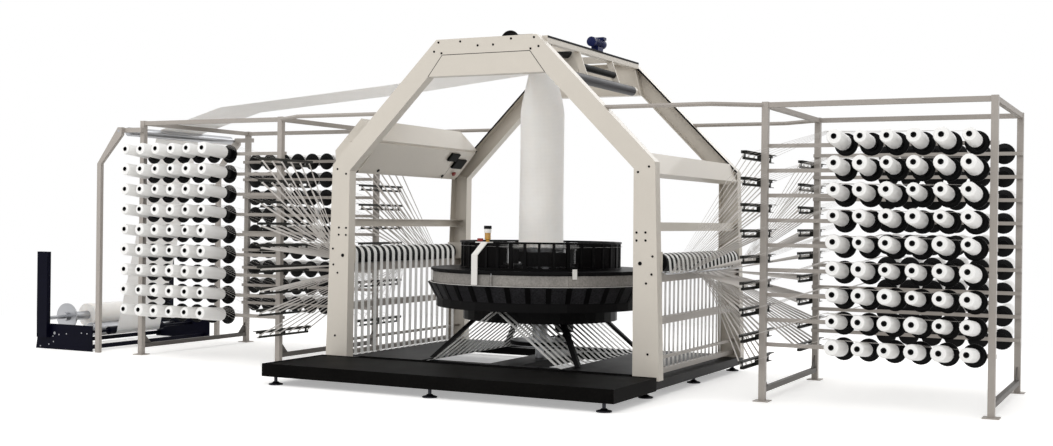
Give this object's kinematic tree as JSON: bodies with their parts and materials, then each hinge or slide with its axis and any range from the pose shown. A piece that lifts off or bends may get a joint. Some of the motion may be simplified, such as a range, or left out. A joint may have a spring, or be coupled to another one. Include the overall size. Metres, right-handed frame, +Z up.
{
  "type": "circular loom",
  "caption": "Circular loom with a round weaving ring under a portal gantry, two yarn creels, warp feed rollers, a cloth take-up on top and a cloth winder.",
  "frame": {"origin": "on the floor below the axis of the weaving ring, on the sole of the foot under the drive", "axes": "+X from the winder side towards the far creel, +Y from the operator's side to the back, +Z up the ring's axis"},
  "size_m": [9.468, 3.277, 3.055],
  "materials": {
    "cream_paint": "satin enamel",
    "black_paint": "satin enamel",
    "grey_paint": "satin enamel",
    "dark_panel": "satin enamel",
    "navy_paint": "satin enamel",
    "steel": "turned",
    "motor_iron": "painted",
    "black_rubber": "matt",
    "shuttle_plastic": "moulded",
    "black_plastic": "moulded",
    "white_yarn": "wound tape",
    "white_tape": "flat tape",
    "cloth": "plain weave",
    "red_plastic": "moulded"
  },
  "bodies": {
    "root": {"portal_legs": "cream_paint", "rafters": "cream_paint", "crown_beams": "cream_paint", "long_beams": "cream_paint", "base_beams": "black_paint", "floor_tray": "black_paint", "levelling_feet": "steel", "ring_legs": "black_paint", "drive_casing": "black_paint", "bed_plate": "black_paint", "shaft_bearings": "steel", "cloth_ring": "steel", "drive_belt": "black_rubber", "main_motor": "motor_iron", "dish_panels": "dark_panel", "dish_ribs": "black_paint", "deck_supports": "black_paint", "heald_band": "grey_paint", "ring_deck": "black_paint", "reed": "black_paint", "ring_brackets": "grey_paint", "oil_cup": "black_paint", "warp_shed": "white_tape", "hinge_pin": "steel", "feed_bearings": "cream_paint", "side_rails": "grey_paint", "warp_bands": "white_tape", "creel_bands": "white_tape", "creel_posts": "grey_paint", "creel_ties": "black_paint", "spindle_rails": "grey_paint", "spindle_discs": "black_plastic", "yarn_packages": "white_yarn", "guide_bars": "black_plastic", "cloth_tube": "cloth", "cloth_web": "cloth", "takeup_frame": "cream_paint", "takeup_motor": "navy_paint", "guide_stand": "grey_paint", "winder_frame": "navy_paint", "control_box": "cream_paint"},
    "rotor": {"main_shaft": "steel", "shuttle_carrier": "steel", "shuttles": "shuttle_plastic", "weft_bobbins": "white_yarn"},
    "motor_drive": {"motor_pulley": "motor_iron"},
    "door": {"shuttle_door": "grey_paint"},
    "feed_right": {"feed_roller_right": "black_rubber"},
    "feed_left": {"feed_roller_left": "black_rubber"},
    "draw": {"draw_roller": "steel", "handwheel": "black_paint"},
    "nip": {"nip_roller": "black_rubber"},
    "guide": {"guide_roller": "steel"},
    "drum": {"winder_drum": "steel"},
    "roll": {"cloth_roll": "cloth", "roll_shaft": "steel"},
    "panel": {"control_door": "cream_paint", "displays": "dark_panel"},
    "stop": {"stop_button": "red_plastic"},
    "valve": {"oil_valve": "red_plastic"}
  },
  "joints": [
    {"name": "rotor_spin", "type": "hinge", "parent": "root", "child": "rotor", "pos_m": [0, 0, 0.97], "axis": [0, 0, 1], "continuous": true},
    {"name": "motor_spin", "type": "hinge", "parent": "root", "child": "motor_drive", "pos_m": [0, 0.52, 0.275], "axis": [0, 0, 1], "continuous": true},
    {"name": "door_swing", "type": "hinge", "parent": "root", "child": "door", "pos_m": [0.01721, -0.98585, 0.87], "axis": [0, 0, -1], "range_deg": [0, 100]},
    {"name": "feed_right_spin", "type": "hinge", "parent": "root", "child": "feed_right", "pos_m": [1.5, 0, 1.057], "axis": [0, 1, 0], "continuous": true},
    {"name": "feed_left_spin", "type": "hinge", "parent": "root", "child": "feed_left", "pos_m": [-1.5, 0, 1.057], "axis": [0, 1, 0], "continuous": true},
    {"name": "draw_spin", "type": "hinge", "parent": "root", "child": "draw", "pos_m": [-0.0815, 0, 2.96], "axis": [0, 1, 0], "continuous": true},
    {"name": "nip_spin", "type": "hinge", "parent": "root", "child": "nip", "pos_m": [0.0612, 0, 2.96], "axis": [0, 1, 0], "continuous": true},
    {"name": "guide_spin", "type": "hinge", "parent": "root", "child": "guide", "pos_m": [-4.25, 0, 2.225], "axis": [0, 1, 0], "continuous": true},
    {"name": "roll_spin", "type": "hinge", "parent": "root", "child": "roll", "pos_m": [-5.25, 0, 0.311], "axis": [0, 1, 0], "continuous": true},
    {"name": "drum_spin", "type": "hinge", "parent": "root", "child": "drum", "pos_m": [-5.12, 0, 0.165], "axis": [0, 1, 0], "continuous": true},
    {"name": "panel_swing", "type": "hinge", "parent": "root", "child": "panel", "pos_m": [-1.20871, 0.03, 2.07482], "axis": [0, 1, 0], "range_deg": [-95, 0]},
    {"name": "valve_turn", "type": "hinge", "parent": "root", "child": "valve", "pos_m": [-0.19257, -0.80127, 1.2], "axis": [0, 0, 1], "range_deg": [0, 90]},
    {"name": "stop_press", "type": "slide", "parent": "panel", "child": "stop", "axis": [-0.7596, 0, 0.6504], "range_m": [0, 0.005], "stiffness_N_per_m": 800}
  ],
  "couplings": [
    {"joint": "motor_spin", "follows": "rotor_spin", "ratio": 4},
    {"joint": "nip_spin", "follows": "draw_spin", "ratio": -1.3333},
    {"joint": "drum_spin", "follows": "roll_spin", "ratio": -1.7857}
  ]
}
